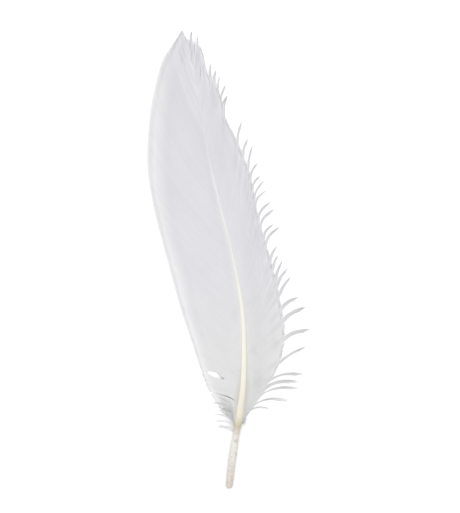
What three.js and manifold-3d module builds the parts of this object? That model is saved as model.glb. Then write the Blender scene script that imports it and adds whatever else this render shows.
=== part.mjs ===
import * as THREE from "three";
import { mergeVertices } from "three/addons/utils/BufferGeometryUtils.js";
import Module from "manifold-3d";

// A goose quill feather, lying on a flat surface with the back of its vanes up.
// One shaft carries two vanes. Its lower part is the bare quill, and its upper part, between
// the vanes, is the rachis. Each vane is a thin solid sheet here, which reaches the tips of its
// barbs. The wide vane's margin is smooth. The narrow vane's margin is frayed: bundles of barbs
// stick together there and run on past it as hooks.
//
// Units are millimetres. +Y runs from the quill's end to the feather's tip, +X points to the
// narrow vane, and +Z is up. The surface that the feather lies on is z = 0. The lines below
// are measured from the quill's end, and the finished group is moved so that the origin is
// under the middle of the whole outline.

// ---- Driving dimensions ----
const MIDDLE = { x: 9.55, y: 90.3 }; // the outline's middle, from the quill's end
const QUILL_RADIUS = 1.65; // where the vanes begin
const QUILL_END_RADIUS = 1.35;
const TIP_RADIUS = 0.14;
const QUILL_SHARE = 0.15; // of the shaft's length, the part that is bare quill
const QUILL_TAPER = 1.6; // how late the quill narrows towards its end
const WAIST = 0.2; // how much the shaft narrows just below the vanes
const WAIST_PLACE = 0.122; // as a share of the shaft's length
const WAIST_SPREAD = 0.028;
const RACHIS_TAPER = 1.15; // how early the rachis thins
const VANE_START = 0.145; // where the vanes begin and end, as shares of the shaft's length
const VANE_END = 0.965;
const VANE_THICKNESS = 0.6;
const VANE_GAP = 0.3; // between the shaft and a vane's root
const ROOT_RISE = 0.25; // a vane leaves the shaft this share of its radius above the axis
const FLAT_SHARE = 0.75; // from this share of a barb's length outwards, the vane lies flat
const HOOK_WIDTH = 1.4; // at a hook's root
const HOOK_FULLNESS = 0.7; // its outline's pull halfway, as a share of that width
const HOOK_OVERLAP = 1.6; // a hook starts this far inside the margin
const HOOK_CURL = 18; // degrees between a hook's first direction and the way to its tip

// ---- Mesh density ----
const SHAFT_SIDES = 12;
const SHAFT_STEPS = 52;
const VANE_STEPS = 56;
const ACROSS_STEPS = 8;
const HOOK_STEPS = 5;
const WELD_DISTANCE = 1e-5; // corners closer than this are one

// ---- Lines, from the quill's end ----
// The shaft's centre: x, y and height.
const SHAFT_LINE = [
  [0.0, 0.0, 0.9],
  [2.7, 12.4, 1.0],
  [6.1, 25.0, 1.9],
  [9.6, 40.0, 3.0],
  [11.5, 56.0, 3.9],
  [12.1, 70.0, 4.5],
  [10.7, 89.0, 4.8],
  [7.7, 110.0, 4.5],
  [5.2, 130.0, 3.6],
  [4.1, 148.0, 2.5],
  [2.2, 166.0, 1.3],
  [0.9, 177.5, 0.6],
];

// Each vane's margin, from its lowest barb to its highest: x, y.
const MARGINS = {
  wide: [
    [3.0, 27.0],
    [-0.8, 32.0],
    [-5.2, 41.0],
    [-8.6, 56.0],
    [-12.3, 73.0],
    [-15.2, 90.0],
    [-18.4, 110.0],
    [-19.6, 127.0],
    [-18.1, 141.0],
    [-15.4, 153.5],
    [-10.0, 168.6],
    [-5.2, 175.3],
    [-0.2, 180.8],
  ],
  narrow: [
    [9.4, 26.8],
    [12.8, 31.0],
    [18.2, 37.0],
    [24.9, 46.5],
    [28.2, 56.5],
    [28.3, 67.0],
    [26.8, 79.8],
    [24.8, 92.5],
    [22.4, 105.5],
    [21.6, 115.0],
    [20.8, 123.5],
    [18.8, 130.5],
    [16.9, 136.6],
    [12.9, 146.8],
    [12.1, 153.0],
    [11.4, 158.5],
    [8.3, 162.2],
    [7.3, 167.0],
    [6.9, 171.6],
    [5.3, 175.8],
    [2.5, 176.9],
  ],
};

// Each hook's place on the margin and its tip: x, y, tip x, tip y.
const HOOKS = [
  [10.4, 30.3, 20.2, 28.9],
  [12.6, 31.9, 29.5, 30.8],
  [17.0, 35.4, 32.8, 35.7],
  [18.9, 38.0, 33.1, 38.4],
  [21.0, 41.0, 34.7, 41.2],
  [25.4, 47.4, 36.2, 52.3],
  [28.2, 56.4, 38.7, 58.7],
  [28.5, 63.9, 37.4, 67.6],
  [28.1, 68.6, 35.0, 71.9],
  [27.6, 73.6, 32.8, 80.4],
  [27.1, 77.8, 32.0, 83.9],
  [26.8, 80.2, 30.2, 87.4],
  [26.0, 84.4, 28.6, 89.4],
  [25.4, 88.4, 28.5, 92.9],
  [24.5, 94.5, 30.6, 100.3],
  [23.9, 97.6, 28.1, 101.4],
  [23.1, 101.8, 29.5, 107.5],
  [22.5, 104.8, 28.3, 110.6],
  [21.9, 110.4, 26.7, 114.8],
  [21.7, 113.0, 26.5, 119.0],
  [21.4, 117.2, 25.2, 121.2],
  [21.0, 121.6, 24.7, 126.4],
  [20.4, 125.2, 23.0, 133.5],
  [19.0, 130.2, 21.4, 136.0],
  [17.2, 135.8, 19.7, 142.9],
  [12.8, 147.4, 15.2, 153.9],
  [12.4, 150.2, 14.9, 158.2],
  [11.8, 157.2, 12.8, 161.4],
  [10.6, 160.0, 11.6, 164.0],
  [9.2, 161.3, 9.8, 166.9],
  [5.4, 175.6, 5.6, 177.4],
  [3.0, 176.8, 3.5, 180.0],
];

// Barbs sweep towards the tip: a barb that starts at one share of its vane ends at a later
// share of the margin, the more so the higher this power.
const SWEEP = { wide: 2.0, narrow: 1.6 };
const FIRST_ANGLE = 55; // degrees between a barb and the shaft where it leaves it, lowest barb
const LAST_ANGLE = 20; // and highest barb
const BARB_BEND = 0.45; // how far a barb keeps that direction, as a share of its length

const wasm = await Module();
wasm.setup();

const lerp = THREE.MathUtils.lerp;
const clamp = THREE.MathUtils.clamp;

function smoothLine(points) {
  const spots = points.map(([x, y, z = 0]) => new THREE.Vector3(x, y, z));
  return new THREE.CatmullRomCurve3(spots, false, "catmullrom", 0.5);
}

const shaftLine = smoothLine(SHAFT_LINE);
const margins = { wide: smoothLine(MARGINS.wide), narrow: smoothLine(MARGINS.narrow) };

function shaftRadius(share) {
  const waist = 1 - WAIST * Math.exp(-(((share - WAIST_PLACE) / WAIST_SPREAD) ** 2));
  if (share < QUILL_SHARE) {
    const bare = 1 - share / QUILL_SHARE;
    return waist * lerp(QUILL_RADIUS, QUILL_END_RADIUS, bare ** QUILL_TAPER);
  }
  const left = 1 - (share - QUILL_SHARE) / (1 - QUILL_SHARE);
  return waist * Math.max(TIP_RADIUS, QUILL_RADIUS * left ** RACHIS_TAPER);
}

// The shaft's centre at a share of its length, its plan direction and the direction to its right.
// The quill's end rests on the surface by the flat underside of its many-sided section.
function shaftAt(share) {
  const centre = shaftLine.getPointAt(share);
  const flatBelow = Math.cos(Math.PI / SHAFT_SIDES) * shaftRadius(share);
  centre.z = Math.max(centre.z, flatBelow);
  const along = shaftLine.getTangentAt(share).setZ(0).normalize();
  const right = new THREE.Vector3(along.y, -along.x, 0);
  return { centre, along, right };
}

// ---- Shaft ----
// A lathed taper whose axis is then laid along the shaft's line. Its sections stay upright.
function makeShaft() {
  const profile = [new THREE.Vector2(0, 0)];
  for (let i = 0; i <= SHAFT_STEPS; i++) {
    const share = i / SHAFT_STEPS;
    profile.push(new THREE.Vector2(shaftRadius(share), share));
  }
  profile.push(new THREE.Vector2(0, 1));
  const geometry = new THREE.LatheGeometry(profile, SHAFT_SIDES, Math.PI / SHAFT_SIDES);
  const spots = geometry.attributes.position;
  for (let i = 0; i < spots.count; i++) {
    const { centre, right } = shaftAt(clamp(spots.getY(i), 0, 1));
    const place = centre.addScaledVector(right, spots.getX(i));
    spots.setXYZ(i, place.x, place.y, place.z + spots.getZ(i));
  }
  return geometry;
}

// ---- Vanes ----
// Height of a vane's underside at a share of a barb's length: from the shaft's flank down to
// the surface.
function undersideHeight(rootHeight, across) {
  const fall = Math.min(across / FLAT_SHARE, 1);
  return rootHeight * 0.5 * (1 + Math.cos(Math.PI * fall));
}

// A point of a vane: barb is its place along the vane and across its place along that barb, both
// from 0 to 1, and height is 0 on the underside and 1 on the back.
function vanePoint(vane, barb, across, height) {
  const side = vane === "narrow" ? 1 : -1;
  const share = lerp(VANE_START, VANE_END, barb);
  const radius = shaftRadius(share);
  const { centre, along, right } = shaftAt(share);
  const rootHeight = centre.z + ROOT_RISE * radius - VANE_THICKNESS / 2;
  const root = centre.clone().addScaledVector(right, side * (radius + VANE_GAP)).setZ(0);
  const end = margins[vane].getPointAt(1 - (1 - barb) ** SWEEP[vane]);

  const angle = THREE.MathUtils.degToRad(lerp(FIRST_ANGLE, LAST_ANGLE, barb));
  const start = along.clone().multiplyScalar(Math.cos(angle));
  start.addScaledVector(right, side * Math.sin(angle));
  const bend = root.clone().addScaledVector(start, BARB_BEND * root.distanceTo(end));
  const place = new THREE.QuadraticBezierCurve3(root, bend, end).getPoint(across);
  place.z = undersideHeight(rootHeight, across) + height * VANE_THICKNESS;
  return place;
}

// A flat box of many cells, each line of which becomes a barb line. Its X runs across the vane,
// so the wide vane, which lies to the left of the shaft, has its root at the box's right.
function makeVane(vane) {
  const geometry = new THREE.BoxGeometry(1, 1, 1, ACROSS_STEPS, VANE_STEPS, 1);
  const spots = geometry.attributes.position;
  for (let i = 0; i < spots.count; i++) {
    const fromLeft = spots.getX(i) + 0.5;
    const across = vane === "narrow" ? fromLeft : 1 - fromLeft;
    const place = vanePoint(vane, spots.getY(i) + 0.5, across, spots.getZ(i) + 0.5);
    spots.setXYZ(i, place.x, place.y, place.z);
  }
  return geometry;
}

// A hook leaves the margin towards the feather's tip and curls outwards to its own tip.
function makeHook([x, y, tipX, tipY]) {
  const root = new THREE.Vector2(x, y);
  const tip = new THREE.Vector2(tipX, tipY);
  const length = root.distanceTo(tip);
  const first = tip.clone().sub(root).normalize();
  first.rotateAround(new THREE.Vector2(), THREE.MathUtils.degToRad(HOOK_CURL));
  const half = new THREE.Vector2(-first.y, first.x).multiplyScalar(HOOK_WIDTH / 2);
  const start = root.clone().addScaledVector(first, -HOOK_OVERLAP);
  const bend = root.clone().addScaledVector(first, length / 2);
  const rightStart = start.clone().sub(half);
  const leftStart = start.clone().add(half);
  const rightBend = bend.clone().addScaledVector(half, -HOOK_FULLNESS);
  const leftBend = bend.clone().addScaledVector(half, HOOK_FULLNESS);

  const outline = new THREE.Shape();
  outline.moveTo(rightStart.x, rightStart.y);
  outline.quadraticCurveTo(rightBend.x, rightBend.y, tip.x, tip.y);
  outline.quadraticCurveTo(leftBend.x, leftBend.y, leftStart.x, leftStart.y);
  outline.closePath();
  const options = { depth: VANE_THICKNESS, bevelEnabled: false, curveSegments: HOOK_STEPS };
  return new THREE.ExtrudeGeometry(outline, options);
}

function toSolid(geometry) {
  const bare = new THREE.BufferGeometry();
  bare.setAttribute("position", geometry.attributes.position);
  bare.setIndex(geometry.index);
  const merged = mergeVertices(bare, WELD_DISTANCE);
  const mesh = new wasm.Mesh({
    numProp: 3,
    vertProperties: new Float32Array(merged.attributes.position.array),
    triVerts: new Uint32Array(merged.index.array),
  });
  return new wasm.Manifold(mesh);
}

function toGeometry(solid) {
  const mesh = solid.getMesh();
  const geometry = new THREE.BufferGeometry();
  geometry.setAttribute("position", new THREE.BufferAttribute(mesh.vertProperties, 3));
  geometry.setIndex(new THREE.BufferAttribute(mesh.triVerts, 1));
  return geometry;
}

function makeNarrowVane() {
  const sheet = toSolid(makeVane("narrow"));
  const hooks = HOOKS.map((hook) => toSolid(makeHook(hook)));
  return toGeometry(wasm.Manifold.union([sheet, ...hooks]));
}

function piece(name, geometry, material) {
  geometry.computeVertexNormals();
  const mesh = new THREE.Mesh(geometry, material);
  mesh.name = name;
  return mesh;
}

const horn = new THREE.MeshStandardMaterial({ color: 0xf6efdc, roughness: 0.35, metalness: 0 });
const web = new THREE.MeshStandardMaterial({ color: 0xe1e0e6, roughness: 0.6, metalness: 0 });

const feather = new THREE.Group();
feather.add(piece("shaft", makeShaft(), horn));
feather.add(piece("wide_vane", makeVane("wide"), web));
feather.add(piece("narrow_vane", makeNarrowVane(), web));
feather.position.set(-MIDDLE.x, -MIDDLE.y, 0);

export default feather;
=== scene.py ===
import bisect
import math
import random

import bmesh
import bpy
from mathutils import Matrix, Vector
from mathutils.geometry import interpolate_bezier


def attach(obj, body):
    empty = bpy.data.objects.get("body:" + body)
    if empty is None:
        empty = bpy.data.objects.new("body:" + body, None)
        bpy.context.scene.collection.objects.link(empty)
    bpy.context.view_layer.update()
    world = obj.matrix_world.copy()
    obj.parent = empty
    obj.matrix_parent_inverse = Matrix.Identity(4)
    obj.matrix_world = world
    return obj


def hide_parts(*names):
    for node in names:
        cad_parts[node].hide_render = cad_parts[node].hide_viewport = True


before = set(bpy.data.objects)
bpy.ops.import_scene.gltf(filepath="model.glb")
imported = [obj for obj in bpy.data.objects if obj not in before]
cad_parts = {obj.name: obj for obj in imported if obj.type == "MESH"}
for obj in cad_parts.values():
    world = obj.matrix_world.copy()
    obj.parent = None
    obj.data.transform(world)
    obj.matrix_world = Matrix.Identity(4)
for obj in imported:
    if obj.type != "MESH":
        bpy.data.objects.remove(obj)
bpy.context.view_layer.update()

# A goose quill feather that lies on a pale surface with the back of its vanes up.
# One shaft carries two vanes. Every barb of a vane is a thin tapered blade of its own, laid
# from the shaft's flank to the vane's margin. On the narrow vane, the ends of the barbs gather
# into hooks that run on past the margin.
#
# Lines are drawn in millimetres from the quill's end, with +Y towards the feather's tip, as the
# solid model's are. to_frame() turns a point of theirs into metres in the model's own frame.
# A barb's place says where along its vane it grows, from 0 at the quill to 1 at the tip. Its reach
# is 0 at the shaft and 1 at the vane's margin, and in a hook it goes on to 2 at the hook's tip.

MM = 0.001

# ---- Feather dimensions, in millimetres from the quill's end ----
MIDDLE = Vector((9.55, 90.3, 0.0))  # of the outline
QUILL_RADIUS = 1.65  # where the vanes begin
QUILL_END_RADIUS = 1.35
TIP_RADIUS = 0.12
QUILL_SHARE = 0.15  # of the shaft's length, the part that is bare quill
QUILL_TAPER = 1.6  # how late the quill narrows towards its end
WAIST = 0.20  # how much the shaft narrows where the quill ends
WAIST_PLACE = 0.122  # as a share of the shaft's length
WAIST_SPREAD = 0.028
RACHIS_TAPER = 1.15  # how early the rachis thins
VANE_START = 0.145  # where the vanes begin and end, as shares of the shaft's length
VANE_END = 0.965
FLAT_SHARE = 0.75  # from this reach outwards, a barb lies flat
MARGIN_HEIGHT = 0.35  # of a barb's middle there
FIRST_ANGLE = 75.0  # degrees between the shaft and the lowest barb, and the highest one
LAST_ANGLE = 15.0
BARB_BEND = 0.45  # how far out a barb turns towards the tip
SWEEP = {"wide": (1.5, 2.0), "narrow": (1.45, 1.6)}  # how far ahead barbs end, low and higher up
SWEEP_SPAN = (0.0, 0.3)  # places between which the first sweep gives way to the second
SIDE = {"wide": -1.0, "narrow": 1.0}

SHAFT_LINE = [
    (0.0, 0.0, 0.9),
    (2.7, 12.4, 1.0),
    (6.1, 25.0, 1.9),
    (9.6, 40.0, 3.0),
    (11.5, 56.0, 3.9),
    (12.1, 70.0, 4.5),
    (10.7, 89.0, 4.8),
    (7.7, 110.0, 4.5),
    (5.2, 130.0, 3.6),
    (4.1, 148.0, 2.5),
    (2.2, 166.0, 1.3),
    (0.9, 177.5, 0.6),
]

MARGINS = {
    "wide": [
        (3.0, 27.0),
        (-0.8, 32.0),
        (-5.2, 41.0),
        (-8.6, 56.0),
        (-12.3, 73.0),
        (-15.2, 90.0),
        (-18.4, 110.0),
        (-19.6, 127.0),
        (-18.1, 141.0),
        (-15.4, 153.5),
        (-10.0, 168.6),
        (-5.2, 175.3),
        (-0.2, 180.8),
    ],
    "narrow": [
        (9.4, 26.8),
        (12.8, 31.0),
        (18.2, 37.0),
        (24.9, 46.5),
        (28.2, 56.5),
        (28.3, 67.0),
        (26.8, 79.8),
        (24.8, 92.5),
        (22.4, 105.5),
        (21.6, 115.0),
        (20.8, 123.5),
        (18.8, 130.5),
        (16.9, 136.6),
        (12.9, 146.8),
        (12.1, 153.0),
        (11.4, 158.5),
        (8.3, 162.2),
        (7.3, 167.0),
        (6.9, 171.6),
        (5.3, 175.8),
        (2.5, 176.9),
    ],
}

# Each hook's place on the narrow vane's margin and its tip: x, y, tip x, tip y.
HOOKS = [
    (10.4, 30.3, 20.2, 28.9),
    (12.6, 31.9, 29.5, 30.8),
    (17.0, 35.4, 32.8, 35.7),
    (18.9, 38.0, 33.1, 38.4),
    (21.0, 41.0, 34.7, 41.2),
    (25.4, 47.4, 36.2, 52.3),
    (28.2, 56.4, 38.7, 58.7),
    (28.5, 63.9, 37.4, 67.6),
    (28.1, 68.6, 35.0, 71.9),
    (27.6, 73.6, 32.8, 80.4),
    (27.1, 77.8, 32.0, 83.9),
    (26.8, 80.2, 30.2, 87.4),
    (26.0, 84.4, 28.6, 89.4),
    (25.4, 88.4, 28.5, 92.9),
    (24.5, 94.5, 30.6, 100.3),
    (23.9, 97.6, 28.1, 101.4),
    (23.1, 101.8, 29.5, 107.5),
    (22.5, 104.8, 28.3, 110.6),
    (21.9, 110.4, 26.7, 114.8),
    (21.7, 113.0, 26.5, 119.0),
    (21.4, 117.2, 25.2, 121.2),
    (21.0, 121.6, 24.7, 126.4),
    (20.4, 125.2, 23.0, 133.5),
    (19.0, 130.2, 21.4, 136.0),
    (17.2, 135.8, 19.7, 142.9),
    (12.8, 147.4, 15.2, 153.9),
    (12.4, 150.2, 14.9, 158.2),
    (11.8, 157.2, 12.8, 161.4),
    (10.6, 160.0, 11.6, 164.0),
    (9.2, 161.3, 9.8, 166.9),
    (5.4, 175.6, 5.6, 177.4),
    (3.0, 176.8, 3.5, 180.0),
]
HOOK_CURL = math.radians(28)  # between a hook's first direction and the way to its tip
HOOK_CATCH = 1.0  # barbs that end this near to a hook's place join it
HOOK_CATCH_GROWTH = 0.045  # and this much further off for each millimetre of the hook's length

# A split is where a vane's barbs have come unzipped: its vane, its place, the reaches at which it
# opens and closes, and how wide it is.
SPLITS = [
    ("wide", 0.089, 0.45, 0.90, 2.5),
    ("wide", 0.054, -0.05, 1.35, 0.66),
    ("wide", 0.022, 0.30, 1.60, 0.8),
    ("wide", 0.845, 0.62, 0.92, 0.20),
    ("wide", 0.870, 0.50, 0.82, 0.20),
    ("wide", 0.893, 0.60, 0.95, 0.20),
    ("wide", 0.915, 0.45, 0.85, 0.22),
    ("wide", 0.936, 0.60, 1.10, 0.22),
    ("wide", 0.958, 0.50, 0.90, 0.22),
    ("wide", 0.980, 0.60, 1.15, 0.25),
    ("narrow", 0.060, 0.55, 1.40, 0.5),
    ("narrow", 0.630, 0.86, 1.30, 1.2),
    ("narrow", 0.845, 0.55, 0.95, 0.22),
    ("narrow", 0.872, 0.35, 0.80, 0.22),
    ("narrow", 0.895, 0.50, 1.10, 0.25),
    ("narrow", 0.918, 0.30, 0.75, 0.22),
    ("narrow", 0.940, 0.45, 1.15, 0.28),
    ("narrow", 0.962, 0.25, 0.80, 0.22),
    ("narrow", 0.982, 0.40, 1.20, 0.28),
]
SPLIT_SOFTNESS = 7.0  # barbs on each side that lean away from a split

# ---- Barbs ----
BARB_PITCH = 0.38  # along the shaft
BLADE_SIDES = 4
BARB_RINGS = 14
RING_CROWDING = 1.5  # a barb's rings stand closer together at its root
HOOK_RINGS = 6  # of a hooked barb's rings, those past the margin
AHEAD = 0.01  # a small reach, to see which way a barb runs
LOW_ROOT = math.radians(20)  # how far up the shaft's flank the first barbs grow
HIGH_ROOT = math.radians(80)  # and the last ones
ROOT_CLIMB = 1.2  # how late the roots climb from the one to the other
LEAST_ROOM = 0.15  # that a barb is given between its neighbours
BARB_WIDTH = 1.35  # against its room, so that its neighbour covers its edge
BARB_RIDGE = 0.07  # half its thickness at its middle
BARB_TILT = 0.06  # its edge nearer to the tip lies this much above its middle
ROOT_DEPTH = 0.4  # of a barb inside the shaft
ROOT_TAPER = 1.5  # the length over which it thickens from its root
ROOT_THICKNESS = 0.25  # against its full thickness
ROOT_SPREAD = 1.4  # and its width there, against the width further on
ROOT_SPREAD_LENGTH = 3.0
TAPER = 2.0  # the length over which it narrows to its point
POINT_WIDTH = 0.15  # against its full width
SHORTFALL = 0.15  # every barb stops this much short of the margin
UNEVENNESS = {"wide": 0.15, "narrow": 0.6}  # and up to this much more
EVEN_TIP = 0.2  # what is left of both near the feather's tip
EVEN_TIP_SPAN = (0.85, 0.95)
SHORTEST_BARB = 2.0  # a shorter one stops short by no larger share than one of this length
SEED = 7

# ---- Barbs that gather into hooks ----
GATHER = (0.66, 0.85)  # how closely they gather at the margin, low on the vane and at its tip
GATHER_SPAN = (0.82, 1.0)  # reaches between which they lean towards their hook
HOOK_STEM = (1.45, 2.61)  # their width at the margin, against that before it, low and at the tip
HOOK_STEM_SPAN = (0.85, 1.05)
HOOK_END = 0.414  # their width at the hook's end, against that at the margin
HOOK_END_SPAN = (1.25, 2.0)
HOOK_LIFT = 0.7  # how far a hook's tip may rise
HOOK_TURN = 0.5  # how much of its curl comes at once
HOOK_BEND = 0.5  # where along its length it turns
HOOK_TIPS = (0.72, 1.0)  # how far along the hook its outermost and its middle barb run
HOOK_JITTER = (0.96, 1.0)  # of that, by chance
HOOK_DARKENING = (0.5, 1.0)  # how dark its outermost and its middle barb get

# ---- Marks on the barbs, which their finish reads ----
BUNDLE = 3.2  # barbs that cling together and share a shade
BUNDLE_LOOSENESS = 0.25  # how far each one's own shade counts
BUNDLE_CONTRAST = (0.7, 4.2)  # of their shades, low on the vane and at its tip
BUNDLE_CONTRAST_RISE = 6  # how late it rises from the one to the other
ROOT_SHADOW_TO_LIGHT_SPAN = (0.04, 0.28)  # places between which the roots change from painted shadow to painted light
ROOT_LIGHT_FADE = (0.5, 0.85)  # and between which that painted light fades
ROOT_LIGHT_LEFT = 0.35  # to this
MARGIN_LIGHT_SHARE = {"wide": (1.0, 0.2), "narrow": (0.3, 0.3)}  # strength of the painted light at the margin, low on the vane and near the tip
MARGIN_LIGHT_PLACES = (0.55, 0.85)

# ---- Barbs that carry on past the end of the shaft ----
TIP_FAN = [(2.4, 176.8), (1.7, 176.8), (1.1, 177.3), (0.6, 178.8), (0.1, 180.4)]
TIP_BARBS = 12
TIP_ROOTS = (0.963, 0.980)  # shares of the shaft, of the fan's outer barbs and its middle

# ---- Shaft ----
SHAFT_SIDES = 24
SHAFT_RINGS = 120
SHAFT_CROWDING = 1.6  # its rings stand closer together at the quill's end
SHAFT_FLATNESS = 0.95  # its height against its width
END_ROUNDING = 1.3  # the length over which the quill's end is rounded
END_WIDTH = 0.62  # of the end, against the quill
MOUTH_WALL = 0.25
MOUTH_DEPTH = 0.8
MOUTH_TAPER = 0.1
GROOVE_DEPTH = 0.35  # of the groove below the rachis, against the radius
GROOVE_SPREAD = 0.5  # radians
GROOVE_SPAN = (QUILL_SHARE, QUILL_SHARE + 0.05)  # where it starts, as shares of the shaft

# ---- Down at the vanes' lower ends ----
# Side of the shaft, how many barbs, the first and last share of the shaft that they leave, and
# how long they are against the longest.
DOWN = [(-1, 15, 0.122, 0.180, 1.0), (1, 3, 0.142, 0.152, 0.2)]
DOWN_RINGS = 8
DOWN_LENGTH = (6.0, 11.0)
DOWN_ANGLE = (55, 80)  # degrees from the shaft
DOWN_DROOP = (5, 55)  # degrees that it turns further, towards the quill
DOWN_SCATTER = 0.6  # how far it leaves its even place, against the room between two
DOWN_ROOT = 0.8  # where it leaves the shaft, against the radius
DOWN_LANDING = 1.3  # how soon it comes down to its height
DOWN_WIDTH = 0.16
DOWN_RIDGE = 0.05  # half its thickness at its middle
DOWN_HEIGHT = 0.3
# How much painted light the down gets towards its ends.
DOWN_MARGIN_LIGHT = 0.5
BARBULES = 13  # side hairs on each side of a downy barb
BARBULE_SIDES = 3
BARBULE_LENGTH = 2.0
BARBULE_SHORTENING = 0.6  # towards the end of its barb
BARBULE_JITTER = (0.6, 1.1)  # of its length
BARBULE_ANGLE = (35, 65)  # degrees from its barb
BARBULE_RISE = (-0.1, 0.25)  # of its direction
BARBULE_RADIUS = 0.022
BARBULE_POINT = 0.2  # its radius at its end, against that at its root

# ---- Vane finish ----
VANE_BASE = (0.75, 0.75, 0.753, 1)  # of the lower part, and its greyer clouds
VANE_CLOUDS = (0.675, 0.675, 0.68, 1)
CLOUD_STRENGTH = 0.8
CLOUD_SPAN = (0.5, 0.78)  # in the noise, from none of them to the whole of their strength
VANE_DARK = (0.728, 0.723, 0.755, 1)  # of the upper part, which is cooler
VANE_LIGHT = (0.768, 0.762, 0.792, 1)
UPPER_SPAN = (-0.045, 0.005)  # where the lower part gives way to the upper: Y in the frame
# Cream at the barbs' roots beside the shaft: partly their own colour, partly painted light that
# lifts the shade there.
ROOT_CREAM_AND_LIGHT = (0.80, 0.785, 0.76, 1)
ROOT_CREAM_AND_LIGHT_SPAN = (0.4, 1.5)  # millimetres along a barb over which it fades
LOW_ROOT_PAINTED_SHADOW = (0.655, 0.64, 0.61, 1)  # painted shadow on the lowest barbs' roots instead, beside the shaft
LOW_ROOT_SHADOW_SPAN = (0.8, 2.8)
# Painted light on the vane's margin, where it lies flat and faces the light.
PAINTED_MARGIN_LIGHT = (0.855, 0.85, 0.86, 1)
MARGIN_LIGHT_REACHES = (0.70, 0.96)  # reaches between which it comes
INNER_HOOK_SHADE = 0.6  # how much gathered barbs darken before the margin
INNER_HOOK_SPAN = (0.45, 1.0)
OUTER_HOOK_SHADE = 0.55  # and past it
OUTER_HOOK_SPAN = (0.9, 1.15)
HOOK_BRIGHTNESS = (1.0, 0.8)  # of loose barbs and of fully darkened ones
STREAK_BRIGHTNESS = (0.95, 1.05)
SHADE_BRIGHTNESS = (0.975, 1.025)
SOFT_CLOUDS = {"Scale": 55.0, "Detail": 2.0}
SMALL_CLOUDS = {"Scale": 150.0, "Detail": 3.0, "Roughness": 0.55}
FIBRE_NOISE = {"Scale": 1.0, "Detail": 3.0, "Roughness": 0.6}
FIBRE_SPACING = 53.0  # in that noise, so that no two fibres look alike
BARB_STREAK = 14.0  # millimetres
BARBULE_PITCH = 0.16  # millimetres between its ribs
BARBULE_SLANT = 0.2  # how much later they are at a barb's side than at its middle
BARBULE_RELIEF = {"Strength": 0.25, "Distance": 0.00002}
VANE_SURFACE = {"Roughness": 0.6, "IOR": 1.4, "Sheen Weight": 0.15, "Sheen Roughness": 0.4}
VANE_GLOW = (0.84, 0.84, 0.86, 1)
VANE_THINNESS = 0.25

# ---- Horn finish ----
# Millimetres from the quill's end, and the colour there.
HORN_COLOURS = [
    (0.0, (0.60, 0.55, 0.50, 1)),
    (6.0, (0.66, 0.62, 0.57, 1)),
    (15.0, (0.71, 0.70, 0.66, 1)),
    (21.0, (0.70, 0.685, 0.63, 1)),
    (24.5, (0.53, 0.49, 0.36, 1)),
    (29.0, (0.73, 0.70, 0.59, 1)),
    (45.0, (0.79, 0.775, 0.68, 1)),
    (60.0, (0.80, 0.77, 0.69, 1)),
    (75.0, (0.765, 0.75, 0.70, 1)),
    (95.0, (0.69, 0.685, 0.675, 1)),
    (115.0, (0.70, 0.695, 0.70, 1)),
    (135.0, (0.72, 0.72, 0.74, 1)),
]
HORN_RAMP = 185.0  # the length that the colours are spread over
# Painted shade on the rachis's flanks, which are lit less than its top.
PAINTED_FLANK_SHADE = (0.50, 0.46, 0.38, 1)
FLANK_SHADE_STRENGTH = 0.8
TOP_TURN = 0.5  # a turn round the shaft, in half circles: 0.5 is its top and -0.5 its underside
FLANK_SPAN = (0.18, 0.42)  # turns from its top or its underside round to its side
FLANK_START = (26.0, 40.0)  # millimetres along the shaft between which the painted shade comes
FLANK_END = (60.0, 100.0)  # and goes
QUILL_MOTTLES = (0.33, 0.25, 0.19, 1)
MOTTLE_STRENGTH = 0.55
MOTTLE_SPAN = (0.47, 0.69)  # in the noise
MOTTLE_END = (22.0, 27.0)  # millimetres along the shaft
MOTTLE_NOISE = {"Scale": 700.0, "Detail": 4.0, "Roughness": 0.7}
HORN_STREAK = 25.0  # millimetres
HORN_BRIGHTNESS = (0.92, 1.08)
HORN_RELIEF = {"Strength": 0.3, "Distance": 0.00005}
HORN_SURFACE = {
    "Roughness": 0.38,
    "IOR": 1.54,
    "Subsurface Weight": 0.2,
    "Subsurface Radius": (0.0012, 0.0009, 0.0006),
    "Subsurface Scale": 1.0,
}
HORN_GLOW = (0.88, 0.84, 0.76, 1)
HORN_THINNESS = 0.12

# ---- Stage ----
FLOOR_SURFACE = {"Base Color": (0.92, 0.92, 0.92, 1), "Roughness": 0.9}
FLOOR_HALF = 3.0
FLOOR_HEIGHT = -0.0001  # a little below the feather, so that the two don't touch
SKY = 0.75
# Name, place, size and power.
LIGHTS = [
    ("key", (0.25, 0.35, 1.0), 0.9, 6.0),
    ("fill", (-0.55, -0.2, 0.9), 1.0, 3.5),
]
LENS = 100.0
CAMERA_HEIGHT = 0.56
CAMERA_ROLL = math.radians(5.78)


def mix(a, b, share):
    return a + (b - a) * share


def ease(value):
    """0 below 0, 1 above 1, and a smooth step between."""
    value = min(max(value, 0.0), 1.0)
    return value * value * (3 - 2 * value)


def ease_over(value, span):
    """0 before a span, 1 after it, and a smooth step within it."""
    start, end = span
    return ease((value - start) / (end - start))


def arc(start, bend, end, share):
    """A point of a curve that leaves its start towards its bend and comes to its end from it."""
    left = 1 - share
    return start * left**2 + bend * 2 * left * share + end * share**2


def to_frame(spot):
    return (spot - MIDDLE) * MM


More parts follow.
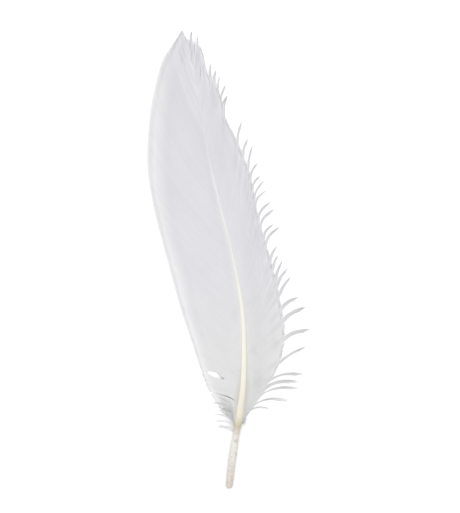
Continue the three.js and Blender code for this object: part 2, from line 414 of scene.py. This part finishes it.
class Line:
    """A smooth line through points, whose places are given as shares of its length."""

    STEPS = 24

    def __init__(self, points):
        knots = [Vector((*point, 0.0)[:3]) for point in points]
        knots = [2 * knots[0] - knots[1], *knots, 2 * knots[-1] - knots[-2]]
        self.spots = [knots[1]]
        for before, start, end, after in zip(knots, knots[1:], knots[2:], knots[3:]):
            # At each point, the line runs as the way between the points on both sides of it.
            handles = start + (end - before) / 6, end - (after - start) / 6
            self.spots += interpolate_bezier(start, *handles, end, self.STEPS + 1)[1:]
        self.lengths = [0.0]
        for start, end in zip(self.spots, self.spots[1:]):
            self.lengths.append(self.lengths[-1] + (end - start).length)
        self.length = self.lengths[-1]

    def piece_at(self, share):
        """The number of the straight piece at a share of the length, and how far into it."""
        far = min(max(share, 0.0), 1.0) * self.length
        i = min(max(bisect.bisect_right(self.lengths, far) - 1, 0), len(self.spots) - 2)
        return i, (far - self.lengths[i]) / (self.lengths[i + 1] - self.lengths[i])

    def at(self, share):
        i, part = self.piece_at(share)
        return self.spots[i].lerp(self.spots[i + 1], part)

    def along(self, share):
        """The plan direction of the line there."""
        i, _ = self.piece_at(share)
        way = self.spots[i + 1] - self.spots[i]
        return Vector((way.x, way.y, 0.0)).normalized()

    def nearest(self, spot):
        """The share of the length at which the line passes closest to a spot."""
        i = min(range(len(self.spots)), key=lambda k: (self.spots[k] - spot).length)
        return self.lengths[i] / self.length


shaft_line = Line(SHAFT_LINE)
margins = {vane: Line(points) for vane, points in MARGINS.items()}
tip_fan = Line(TIP_FAN)


def shaft_radius(share):
    waist = 1 - WAIST * math.exp(-(((share - WAIST_PLACE) / WAIST_SPREAD) ** 2))
    if share < QUILL_SHARE:
        bare = 1 - share / QUILL_SHARE
        return waist * mix(QUILL_RADIUS, QUILL_END_RADIUS, bare**QUILL_TAPER)
    left = 1 - (share - QUILL_SHARE) / (1 - QUILL_SHARE)
    return waist * max(TIP_RADIUS, QUILL_RADIUS * left**RACHIS_TAPER)


def shaft_at(share):
    """The shaft's centre, its plan direction and the direction to its right."""
    centre = shaft_line.at(share)
    centre.z = max(centre.z, shaft_radius(share))
    along = shaft_line.along(share)
    return centre, along, Vector((along.y, -along.x, 0.0))


# ---- The course of one barb ----
class Hook:
    """A hook's place on the narrow vane's margin, its tip and the way it first runs."""

    def __init__(self, x, y, tip_x, tip_y):
        root = Vector((x, y, 0.0))
        self.tip = Vector((tip_x, tip_y, 0.0))
        self.place = margins["narrow"].nearest(root)
        way = self.tip - root
        self.length = way.length
        self.first = Matrix.Rotation(HOOK_CURL, 3, "Z") @ way.normalized()


hooks = [Hook(*numbers) for numbers in HOOKS]


class Barb:
    """The course of one barb, from the shaft's flank to the margin and, in a hook, past it."""

    def __init__(self, vane, place, dice):
        side = SIDE[vane]
        share = mix(VANE_START, VANE_END, place)
        radius = shaft_radius(share)
        centre, along, right = shaft_at(share)
        self.vane = vane
        self.place = place
        rise = mix(LOW_ROOT, HIGH_ROOT, place**ROOT_CLIMB)
        self.root_height = centre.z + math.sin(rise) * radius * SHAFT_FLATNESS
        off = radius * math.cos(rise) - ROOT_DEPTH
        self.root = (centre + right * side * off).xy.to_3d()
        sweep = mix(*SWEEP[vane], ease_over(place, SWEEP_SPAN))
        self.arrival = 1 - (1 - place) ** sweep  # as a share of the margin's length
        self.end = margins[vane].at(self.arrival)
        angle = math.radians(mix(FIRST_ANGLE, LAST_ANGLE, math.sqrt(place)))
        way = along * math.cos(angle) + right * side * math.sin(angle)
        self.length = (self.end - self.root).length
        self.bend = self.root + way * BARB_BEND * self.length
        short = SHORTFALL + dice.random() ** 2 * UNEVENNESS[vane]
        short *= mix(1.0, EVEN_TIP, ease_over(place, EVEN_TIP_SPAN))
        self.stop = 1 - short / max(self.length, SHORTEST_BARB)
        self.lift = HOOK_LIFT * dice.random()
        dice.random()  # a spare one, so that the later ones stay as they are
        # The roots' mark, from painted shadow low on the vane to painted light higher up.
        self.root_shadow_and_light = mix(-1.0, 1.0, ease_over(place, ROOT_SHADOW_TO_LIGHT_SPAN))
        self.root_shadow_and_light *= mix(1.0, ROOT_LIGHT_LEFT, ease_over(place, ROOT_LIGHT_FADE))
        self.hook = None
        self.hooked = 0.0
        if vane == "narrow":
            self.join_hook(dice)

    def join_hook(self, dice):
        """Joins the nearest hook, if it is near enough."""
        margin = margins["narrow"]
        hook = min(hooks, key=lambda one: abs(one.place - self.arrival))
        off = abs(self.arrival - hook.place) * margin.length
        catch = HOOK_CATCH + HOOK_CATCH_GROWTH * hook.length
        if off > catch:
            return
        near = 1 - off / catch
        self.hook = hook
        self.hooked = mix(*HOOK_DARKENING, near)
        self.lean = (margin.at(hook.place) - self.end) * mix(*GATHER, self.place)
        self.tip = self.end.lerp(hook.tip, mix(*HOOK_TIPS, near) * dice.uniform(*HOOK_JITTER))

    def aim_ahead(self, part):
        """Makes it one of the fan of barbs that carries on past the end of the shaft."""
        centre, along, right = shaft_at(mix(*TIP_ROOTS, math.sin(math.pi * part)))
        angle = math.radians(LAST_ANGLE * (1 - 2 * part))
        self.hook = None
        self.hooked = 0.0
        self.root_height = centre.z
        self.root = centre.xy.to_3d()
        self.end = tip_fan.at(part)
        self.length = (self.end - self.root).length
        way = along * math.cos(angle) + right * math.sin(angle)
        self.bend = self.root + way * BARB_BEND * self.length
        return self

    def plain(self, reach):
        """The barb's course in plan, as if nothing had come unzipped."""
        return arc(self.root, self.bend, self.end, reach)

    def way(self, reach):
        """The plan direction in which that course runs."""
        return (self.plain(reach + AHEAD) - self.plain(reach - AHEAD)).normalized()

    def split_offset(self, reach, count):
        """How far towards the tip one of a vane's count of barbs leans away from the splits."""
        offset = 0.0
        for vane, place, opens, closes, width in SPLITS:
            if vane != self.vane or not opens < reach < closes:
                continue
            steps = (self.place - place) * count
            nearness = math.exp(-abs(steps) / SPLIT_SOFTNESS)
            bump = math.sin(math.pi * (reach - opens) / (closes - opens))
            offset += math.copysign(width / 2 * nearness * bump, steps)
        return offset

    def height(self, reach):
        """It falls from the shaft's flank and then lies flat."""
        fall = min(reach / FLAT_SHARE, 1.0)
        slope = 0.5 * (1 + math.cos(math.pi * fall))
        return mix(MARGIN_HEIGHT, self.root_height, slope)

    def course(self, count):
        """Rings along the barb, each with its spot and its reach."""
        inner = BARB_RINGS - HOOK_RINGS if self.hook else BARB_RINGS
        rings = []
        for k in range(inner + 1):
            reach = (k / inner) ** RING_CROWDING * (1.0 if self.hook else self.stop)
            way = self.way(reach)
            towards_tip = Vector((-way.y, way.x, 0.0)) * SIDE[self.vane]
            spot = self.plain(reach) + towards_tip * self.split_offset(reach, count)
            if self.hook:
                spot += self.lean * ease_over(reach, GATHER_SPAN)
            spot.z = self.height(reach)
            rings.append((spot, reach))
        if self.hook:
            rings += self.hook_course(rings[-2][0], rings[-1][0])
        return rings

    def hook_course(self, before, end):
        """The rings past the margin, from the last two spots before it."""
        way = (end - before).xy.to_3d().normalized()
        turned = way.lerp(self.hook.first, HOOK_TURN)
        bend = end + turned * (self.tip - end).length * HOOK_BEND
        rings = []
        for k in range(1, HOOK_RINGS + 1):
            share = k / HOOK_RINGS
            spot = arc(end, bend, self.tip, share)
            spot.z = end.z + self.lift * share**2
            rings.append((spot, 1.0 + share))
        return rings


# ---- Meshes ----
def rod_template(sides, rings):
    """A many-sided rod of unit size along Z, from 0 to 1, with evenly spaced rings."""
    bm = bmesh.new()
    bmesh.ops.create_cone(
        bm, cap_ends=True, cap_tris=False, segments=sides, radius1=1.0, radius2=1.0, depth=1.0,
        matrix=Matrix.Translation((0, 0, 0.5)),
    )
    long_edges = [e for e in bm.edges if abs(e.verts[0].co.z - e.verts[1].co.z) > 0.5]
    bmesh.ops.subdivide_edges(bm, edges=long_edges, cuts=rings - 1)
    mesh = bpy.data.meshes.new("rod")
    bm.to_mesh(mesh)
    bm.free()
    return mesh


def finish_piece(bm, name, material, solid=None):
    """Makes a finished mesh a piece of the feather, which may stand for one of its solids."""
    for face in bm.faces:
        face.smooth = True
    bm.normal_update()
    bmesh.ops.recalc_face_normals(bm, faces=bm.faces)
    mesh = bpy.data.meshes.new(name)
    bm.to_mesh(mesh)
    bm.free()
    mesh.materials.append(material)
    piece = bpy.data.objects.new(name, mesh)
    bpy.context.scene.collection.objects.link(piece)
    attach(piece, "root")
    if solid:
        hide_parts(solid)


def rounded(part):
    """The height of a quarter circle, from 0 at its end to 1 where it is level."""
    return math.sqrt(1 - (1 - min(part, 1.0)) ** 2)


def lay_blade(bm, template, layers, course, widths, ridge, tilt, marks):
    """Lays one copy of the blade template along a course of rings."""
    first = len(bm.verts)
    bm.from_mesh(template)
    bm.verts.ensure_lookup_table()
    rings = len(course) - 1
    travelled = [0.0]
    for (start, _), (end, _) in zip(course, course[1:]):
        travelled.append(travelled[-1] + (end - start).length)
    for vert in bm.verts[first:]:
        k = round(vert.co.z * rings)
        spot, reach = course[k]
        way = (course[min(k + 1, rings)][0] - course[max(k - 1, 0)][0]).normalized()
        across = Vector((way.y, -way.x, 0.0)).normalized()
        up = across.cross(way)
        sideways, upwards = vert.co.x, vert.co.y
        taper = mix(POINT_WIDTH, 1.0, rounded((travelled[-1] - travelled[k]) / TAPER))
        thickness = taper * mix(ROOT_THICKNESS, 1.0, ease(travelled[k] / ROOT_TAPER))
        spot = spot + across * sideways * widths[k] / 2 * taper
        spot += up * thickness * (upwards * ridge + sideways * tilt)
        vert[layers["along"]] = travelled[k]
        vert[layers["across"]] = sideways
        vert[layers["reach"]] = reach
        for name, value in marks.items():
            vert[layers[name]] = value
        vert.co = to_frame(spot)


def marked_mesh():
    """An empty mesh with the marks that the finishes read."""
    bm = bmesh.new()
    layers = {}
    # The root mark runs from painted shadow at -1 to painted light at 1.
    for name in ("along", "across", "reach", "shade", "margin", "hooked", "root_shadow_and_light"):
        layers[name] = bm.verts.layers.float.new(name)
    return bm, layers


def mark_sharp_edges(bm, layers):
    """A blade is smooth along its length and over its middle, and sharp at its two sides."""
    for edge in bm.edges:
        edge.smooth = min(abs(vert[layers["across"]]) for vert in edge.verts) < 0.5


def bundle_shades(count, dice):
    """Shades that barbs which cling together have nearly in common."""
    knots = [dice.random() for _ in range(int(count / BUNDLE) + 2)]
    shades = []
    for i in range(count):
        k, part = divmod(i / BUNDLE, 1)
        shared = mix(knots[int(k)], knots[int(k) + 1], ease(part))
        shade = mix(shared, dice.random(), BUNDLE_LOOSENESS)
        contrast = mix(*BUNDLE_CONTRAST, (i / count) ** BUNDLE_CONTRAST_RISE)
        shades.append(0.5 + contrast * (shade - 0.5))
    return shades


def barb_widths(barb, before, after, steps, course):
    """Its width at each of its rings, from the room between barbs that are some steps apart."""
    widths = []
    for _, reach in course:
        inner = min(reach, 1.0)
        way = barb.way(inner)
        across = Vector((way.y, -way.x, 0.0))
        room = abs((after.plain(inner) - before.plain(inner)).dot(across)) / steps
        width = max(room, LEAST_ROOM) * BARB_WIDTH
        width *= mix(ROOT_SPREAD, 1.0, ease(inner * barb.length / ROOT_SPREAD_LENGTH))
        if barb.hook:
            width *= mix(1.0, mix(*HOOK_STEM, barb.place), ease_over(reach, HOOK_STEM_SPAN))
            width *= mix(1.0, HOOK_END, ease_over(reach, HOOK_END_SPAN))
        widths.append(width)
    return widths


def make_vane(vane, name, solid, material):
    dice = random.Random(SEED + len(vane))
    count = round(shaft_line.length * (VANE_END - VANE_START) / BARB_PITCH)
    barbs = [Barb(vane, i / (count - 1), dice) for i in range(count)]
    if vane == "narrow":
        fan = [i / (TIP_BARBS - 1) for i in range(TIP_BARBS)]
        barbs += [Barb(vane, 1.0, dice).aim_ahead(part) for part in fan]
    shades = bundle_shades(len(barbs), dice)
    template = rod_template(BLADE_SIDES, BARB_RINGS)
    tilt = -SIDE[vane] * BARB_TILT
    bm, layers = marked_mesh()
    for i, barb in enumerate(barbs):
        course = barb.course(count)
        lower, upper = max(i - 1, 0), min(i + 1, len(barbs) - 1)
        widths = barb_widths(barb, barbs[lower], barbs[upper], upper - lower, course)
        marks = {
            "shade": shades[i],
            "hooked": barb.hooked,
            "root_shadow_and_light": barb.root_shadow_and_light,
            # how much painted light the barb's margin gets
            "margin": mix(*MARGIN_LIGHT_SHARE[vane], ease_over(barb.place, MARGIN_LIGHT_PLACES)),
        }
        lay_blade(bm, template, layers, course, widths, BARB_RIDGE, tilt, marks)
    mark_sharp_edges(bm, layers)
    finish_piece(bm, name, material, solid)


def groove_depth(share, turn):
    """How deep the shaft's surface is sunk at a turn round it, as a share of its radius."""
    below = math.remainder(turn + math.pi / 2, 2 * math.pi)
    depth = GROOVE_DEPTH * math.exp(-((below / GROOVE_SPREAD) ** 2))
    return depth * ease_over(share, GROOVE_SPAN)


def open_mouth(bm):
    """Sinks the quill's end into the tube."""
    bm.normal_update()
    bmesh.ops.recalc_face_normals(bm, faces=bm.faces)
    ends = [face for face in bm.faces if len(face.verts) == SHAFT_SIDES]
    mouth = min(ends, key=lambda face: face.calc_center_median().y)
    taper, depth = MOUTH_TAPER * MM, -MOUTH_DEPTH * MM
    bmesh.ops.inset_individual(bm, faces=[mouth], thickness=MOUTH_WALL * MM)
    bmesh.ops.inset_individual(bm, faces=[mouth], thickness=taper, depth=depth)


def make_shaft(material):
    """The quill and the rachis: a tapering tube with a groove below, laid on the shaft's line."""
    bm, layers = marked_mesh()
    bm.from_mesh(rod_template(SHAFT_SIDES, SHAFT_RINGS))
    for vert in bm.verts:
        share = vert.co.z**SHAFT_CROWDING
        turn = math.atan2(vert.co.y, vert.co.x)
        centre, _, right = shaft_at(share)
        travelled = share * shaft_line.length
        radius = shaft_radius(share) * mix(END_WIDTH, 1.0, rounded(travelled / END_ROUNDING))
        radius *= 1 - groove_depth(share, turn)
        spot = centre + right * math.cos(turn) * radius
        spot.z += math.sin(turn) * radius * SHAFT_FLATNESS
        vert[layers["along"]] = travelled
        vert[layers["across"]] = turn / math.pi
        vert[layers["reach"]] = share
        vert.co = to_frame(spot)
    open_mouth(bm)
    finish_piece(bm, "quill_and_rachis", material, "shaft")


# ---- Down at the vanes' lower ends ----
def down_course(side, share, length, angle, droop):
    """A loose downy barb: it leaves the shaft at an angle to it and droops towards the quill."""
    centre, along, right = shaft_at(share)
    root = centre + right * side * shaft_radius(share) * DOWN_ROOT
    course = []
    spot = root.copy()
    for k in range(DOWN_RINGS + 1):
        part = k / DOWN_RINGS
        turn = math.radians(angle + droop * part)
        course.append((spot.copy(), part))
        way = along * math.cos(turn) + right * side * math.sin(turn)
        spot += way * length / DOWN_RINGS
        spot.z = mix(root.z, DOWN_HEIGHT, ease(part * DOWN_LANDING))
    return course


def make_down(material):
    dice = random.Random(SEED)
    template = rod_template(BLADE_SIDES, DOWN_RINGS)
    widths = [DOWN_WIDTH] * (DOWN_RINGS + 1)
    bm, layers = marked_mesh()
    for side, count, first, last, size in DOWN:
        for i in range(count):
            share = mix(first, last, (i + dice.random() * DOWN_SCATTER) / count)
            length = dice.uniform(*DOWN_LENGTH) * size
            angle = dice.uniform(*DOWN_ANGLE)
            course = down_course(side, share, length, angle, dice.uniform(*DOWN_DROOP))
            # the down's margin mark gives it painted light towards its ends
            marks = {"shade": dice.random(), "margin": DOWN_MARGIN_LIGHT}
            lay_blade(bm, template, layers, course, widths, DOWN_RIDGE, 0.0, marks)
            add_barbules(bm, layers, course, marks, dice)
    finish_piece(bm, "base_down", material)


def add_barbules(bm, layers, course, marks, dice):
    """Fine side hairs along a downy barb."""
    for k in range(1, BARBULES + 1):
        part = k / BARBULES * DOWN_RINGS
        i = min(int(part), DOWN_RINGS - 1)
        spot = course[i][0].lerp(course[i + 1][0], part - i)
        way = (course[i + 1][0] - course[i][0]).normalized()
        length = BARBULE_LENGTH * (1 - BARBULE_SHORTENING * k / BARBULES)
        length *= dice.uniform(*BARBULE_JITTER)
        for side in (-1, 1):
            angle = math.radians(dice.uniform(*BARBULE_ANGLE))
            hair = Matrix.Rotation(side * angle, 3, "Z") @ way
            hair.z = dice.uniform(*BARBULE_RISE)
            hair.normalize()
            lie = hair.to_track_quat("Z", "Y").to_matrix().to_4x4()
            middle = to_frame(spot + hair * length / 2)
            made = bmesh.ops.create_cone(
                bm, cap_ends=True, cap_tris=True, segments=BARBULE_SIDES,
                radius1=BARBULE_RADIUS * MM, radius2=BARBULE_RADIUS * MM * BARBULE_POINT,
                depth=length * MM, matrix=Matrix.Translation(middle) @ lie,
            )
            for vert in made["verts"]:
                for name, value in marks.items():
                    vert[layers[name]] = value


# ---- Finishes ----
def node(tree, kind, inputs=None, **settings):
    """Adds a node. An input is a plain value, or another node's output to link."""
    made = tree.nodes.new(kind)
    for name, value in settings.items():
        setattr(made, name, value)
    for key, value in (inputs or {}).items():
        if isinstance(value, bpy.types.NodeSocket):
            tree.links.new(value, made.inputs[key])
        else:
            made.inputs[key].default_value = value
    return made


def maths(tree, operation, *values):
    return node(tree, "ShaderNodeMath", dict(enumerate(values)), operation=operation).outputs[0]


def product(tree, first, *others):
    for other in others:
        first = maths(tree, "MULTIPLY", first, other)
    return first


def level(tree, share, ends):
    """Goes from the first end to the second as a share goes from 0 to 1."""
    return maths(tree, "MULTIPLY_ADD", share, ends[1] - ends[0], ends[0])


def step(tree, value, span):
    """0 before a span, 1 after it, and smooth within it."""
    values = {"Value": value, "From Min": span[0], "From Max": span[1]}
    kind = "SMOOTHSTEP"
    return node(tree, "ShaderNodeMapRange", values, interpolation_type=kind).outputs["Result"]


def fade(tree, value, span):
    """1 before a span, 0 after it, and smooth within it."""
    return maths(tree, "SUBTRACT", 1.0, step(tree, value, span))


def noise(tree, spot, grain):
    return node(tree, "ShaderNodeTexNoise", {"Vector": spot, **grain}).outputs["Fac"]


def blend_colours(tree, share, first, second):
    values = {0: share, 6: first, 7: second}
    return node(tree, "ShaderNodeMix", values, data_type="RGBA").outputs[2]


def brighten(tree, colour, strength):
    values = {0: colour, "Scale": strength}
    return node(tree, "ShaderNodeVectorMath", values, operation="SCALE").outputs[0]


def attribute(tree, name):
    return node(tree, "ShaderNodeAttribute", attribute_name=name).outputs["Fac"]


def surface_spot(tree):
    return node(tree, "ShaderNodeTexCoord").outputs["Object"]


def new_group(name, inputs, output):
    group = bpy.data.node_groups.new(name, "ShaderNodeTree")
    for label in inputs:
        group.interface.new_socket(label, in_out="INPUT", socket_type="NodeSocketFloat")
    group.interface.new_socket(output, in_out="OUTPUT", socket_type="NodeSocketFloat")
    return group, node(group, "NodeGroupInput").outputs


def make_streaks_group():
    """Slow changes along each fibre that differ from one fibre to the next."""
    group, given = new_group("fibre_streaks", ("Along", "Fibre", "Length"), "Streak")
    far = maths(group, "DIVIDE", given["Along"], given["Length"])
    lane = maths(group, "MULTIPLY", given["Fibre"], FIBRE_SPACING)
    spot = node(group, "ShaderNodeCombineXYZ", {"X": far, "Y": lane}).outputs[0]
    node(group, "NodeGroupOutput", {"Streak": noise(group, spot, FIBRE_NOISE)})
    return group


def make_barbules_group():
    """Fine slanted ribs on both sides of a barb, as a height."""
    group, given = new_group("barbules", ("Along", "Across", "Pitch", "Slant"), "Height")
    aside = maths(group, "ABSOLUTE", given["Across"])
    far = maths(group, "SUBTRACT", given["Along"], product(group, aside, given["Slant"]))
    turns = maths(group, "DIVIDE", far, given["Pitch"])
    wave = maths(group, "SINE", product(group, turns, math.tau))
    node(group, "NodeGroupOutput", {"Height": wave})
    return group


def streaks_along(tree, group, fibre, length):
    values = {"Along": attribute(tree, "along"), "Fibre": fibre, "Length": length}
    return node(tree, "ShaderNodeGroup", values, node_tree=group).outputs["Streak"]


def new_material(name):
    material = bpy.data.materials.new(name)
    material.use_nodes = True
    material.node_tree.nodes.clear()
    return material, material.node_tree


def close_material(tree, colour, height, relief, surface, glow, thinness):
    """The surface with its relief, and a share of it that glows with the light behind it."""
    bump = node(tree, "ShaderNodeBump", {"Height": height, **relief}).outputs["Normal"]
    values = {"Base Color": colour, "Normal": bump, **surface}
    shader = node(tree, "ShaderNodeBsdfPrincipled", values).outputs[0]
    light = node(tree, "ShaderNodeBsdfTranslucent", {"Color": glow}).outputs[0]
    both = node(tree, "ShaderNodeMixShader", {0: thinness, 1: shader, 2: light}).outputs[0]
    node(tree, "ShaderNodeOutputMaterial", {"Surface": both})


def cloudy_white(tree):
    """Warm white with greyer clouds low on the feather, and cooler higher up."""
    spot = surface_spot(tree)
    clouds = step(tree, noise(tree, spot, SMALL_CLOUDS), CLOUD_SPAN)
    lower = blend_colours(tree, product(tree, clouds, CLOUD_STRENGTH), VANE_BASE, VANE_CLOUDS)
    upper = blend_colours(tree, noise(tree, spot, SOFT_CLOUDS), VANE_DARK, VANE_LIGHT)
    height = node(tree, "ShaderNodeSeparateXYZ", {0: spot}).outputs["Y"]
    return blend_colours(tree, step(tree, height, UPPER_SPAN), lower, upper)


def paint_root_shadow_and_light(tree, colour):
    """Paints shadow onto the barbs' roots low on the vane, where the mark is below 0, and a cream
    tint with painted light onto the others.
    """
    along, root_paint = attribute(tree, "along"), attribute(tree, "root_shadow_and_light")
    shaded = product(tree, fade(tree, along, LOW_ROOT_SHADOW_SPAN), step(tree, root_paint, (0.0, -1.0)))
    colour = blend_colours(tree, shaded, colour, LOW_ROOT_PAINTED_SHADOW)
    pale = product(tree, fade(tree, along, ROOT_CREAM_AND_LIGHT_SPAN), step(tree, root_paint, (0.0, 1.0)))
    return blend_colours(tree, pale, colour, ROOT_CREAM_AND_LIGHT)


def paint_margin_light(tree, colour):
    # Paints light onto the vane's margin, as much as the barb's margin mark says.
    share = step(tree, attribute(tree, "reach"), MARGIN_LIGHT_REACHES)
    share = product(tree, share, attribute(tree, "margin"))
    return blend_colours(tree, share, colour, PAINTED_MARGIN_LIGHT)


def hook_darkening(tree):
    """How much darker a gathered barb is: a little before the margin, and most in its hook."""
    reach = attribute(tree, "reach")
    inside = product(tree, step(tree, reach, INNER_HOOK_SPAN), INNER_HOOK_SHADE)
    beyond = product(tree, step(tree, reach, OUTER_HOOK_SPAN), OUTER_HOOK_SHADE)
    return product(tree, maths(tree, "ADD", inside, beyond), attribute(tree, "hooked"))


def make_vane_finish(streaks_group, barbules_group):
    material, tree = new_material("vane")
    shade = attribute(tree, "shade")
    streaks = streaks_along(tree, streaks_group, shade, BARB_STREAK)
    strength = product(
        tree,
        level(tree, streaks, STREAK_BRIGHTNESS),
        level(tree, shade, SHADE_BRIGHTNESS),
        level(tree, hook_darkening(tree), HOOK_BRIGHTNESS),
    )
    colour = paint_margin_light(tree, paint_root_shadow_and_light(tree, cloudy_white(tree)))
    colour = brighten(tree, colour, strength)
    along, across = attribute(tree, "along"), attribute(tree, "across")
    values = {"Along": along, "Across": across, "Pitch": BARBULE_PITCH, "Slant": BARBULE_SLANT}
    ribs = node(tree, "ShaderNodeGroup", values, node_tree=barbules_group).outputs["Height"]
    close_material(tree, colour, ribs, BARBULE_RELIEF, VANE_SURFACE, VANE_GLOW, VANE_THINNESS)
    return material


def horn_colour(tree):
    """Its colours along the shaft."""
    along = maths(tree, "DIVIDE", attribute(tree, "along"), HORN_RAMP)
    ramp = node(tree, "ShaderNodeValToRGB", {"Fac": along})
    stops = ramp.color_ramp.elements
    for i, (place, colour) in enumerate(HORN_COLOURS):
        stop = stops[i] if i < len(stops) else stops.new(place / HORN_RAMP)
        stop.position = place / HORN_RAMP
        stop.color = colour
    return ramp.outputs["Color"]


def mottle_quill(tree, colour):
    """Brown mottles on the bare quill."""
    mottles = step(tree, noise(tree, surface_spot(tree), MOTTLE_NOISE), MOTTLE_SPAN)
    bare = fade(tree, attribute(tree, "along"), MOTTLE_END)
    share = product(tree, mottles, bare, MOTTLE_STRENGTH)
    return blend_colours(tree, share, colour, QUILL_MOTTLES)


def paint_flank_shade(tree, colour):
    """Painted shade, tan and darker, on the flanks of the thick part of the rachis."""
    along, turn = attribute(tree, "along"), attribute(tree, "across")
    from_top = maths(tree, "SUBTRACT", maths(tree, "ABSOLUTE", turn), TOP_TURN)
    flanks = step(tree, maths(tree, "ABSOLUTE", from_top), FLANK_SPAN)
    thick = maths(tree, "SUBTRACT", step(tree, along, FLANK_START), step(tree, along, FLANK_END))
    share = product(tree, flanks, thick, FLANK_SHADE_STRENGTH)
    return blend_colours(tree, share, colour, PAINTED_FLANK_SHADE)


def make_horn_finish(streaks_group):
    material, tree = new_material("horn")
    streaks = streaks_along(tree, streaks_group, attribute(tree, "across"), HORN_STREAK)
    colour = paint_flank_shade(tree, mottle_quill(tree, horn_colour(tree)))
    colour = brighten(tree, colour, level(tree, streaks, HORN_BRIGHTNESS))
    close_material(tree, colour, streaks, HORN_RELIEF, HORN_SURFACE, HORN_GLOW, HORN_THINNESS)
    return material


def make_floor_finish():
    material, tree = new_material("pale_floor")
    shader = node(tree, "ShaderNodeBsdfPrincipled", FLOOR_SURFACE).outputs[0]
    node(tree, "ShaderNodeOutputMaterial", {"Surface": shader})
    return material


# ---- Stage ----
def make_floor():
    bm = bmesh.new()
    place = Matrix.Translation((0, 0, FLOOR_HEIGHT))
    bmesh.ops.create_grid(bm, x_segments=1, y_segments=1, size=FLOOR_HALF, matrix=place)
    mesh = bpy.data.meshes.new("floor")
    bm.to_mesh(mesh)
    bm.free()
    mesh.materials.append(make_floor_finish())
    floor = bpy.data.objects.new("floor", mesh)
    bpy.context.scene.collection.objects.link(floor)


def make_lights():
    world = bpy.data.worlds.new("studio")
    bpy.context.scene.world = world
    world.use_nodes = True
    background = world.node_tree.nodes["Background"]
    background.inputs["Color"].default_value = (1, 1, 1, 1)
    background.inputs["Strength"].default_value = SKY
    for name, place, size, power in LIGHTS:
        data = bpy.data.lights.new(name, "AREA")
        data.size = size
        data.energy = power
        light = bpy.data.objects.new(name, data)
        light.location = place
        light.rotation_mode = "QUATERNION"
        light.rotation_quaternion = Vector(place).to_track_quat("Z", "Y")
        bpy.context.scene.collection.objects.link(light)


def make_camera():
    data = bpy.data.cameras.new("camera")
    data.lens = LENS
    camera = bpy.data.objects.new("camera", data)
    camera.location = (0.0, 0.0, CAMERA_HEIGHT)
    camera.rotation_euler = (0, 0, -CAMERA_ROLL)
    bpy.context.scene.collection.objects.link(camera)
    bpy.context.scene.camera = camera


streaks_group = make_streaks_group()
vane_finish = make_vane_finish(streaks_group, make_barbules_group())
make_vane("wide", "wide_vane_barbs", "wide_vane", vane_finish)
make_vane("narrow", "narrow_vane_barbs", "narrow_vane", vane_finish)
make_down(vane_finish)
make_shaft(make_horn_finish(streaks_group))
make_floor()
make_lights()
make_camera()
bpy.context.scene.view_settings.view_transform = "Standard"
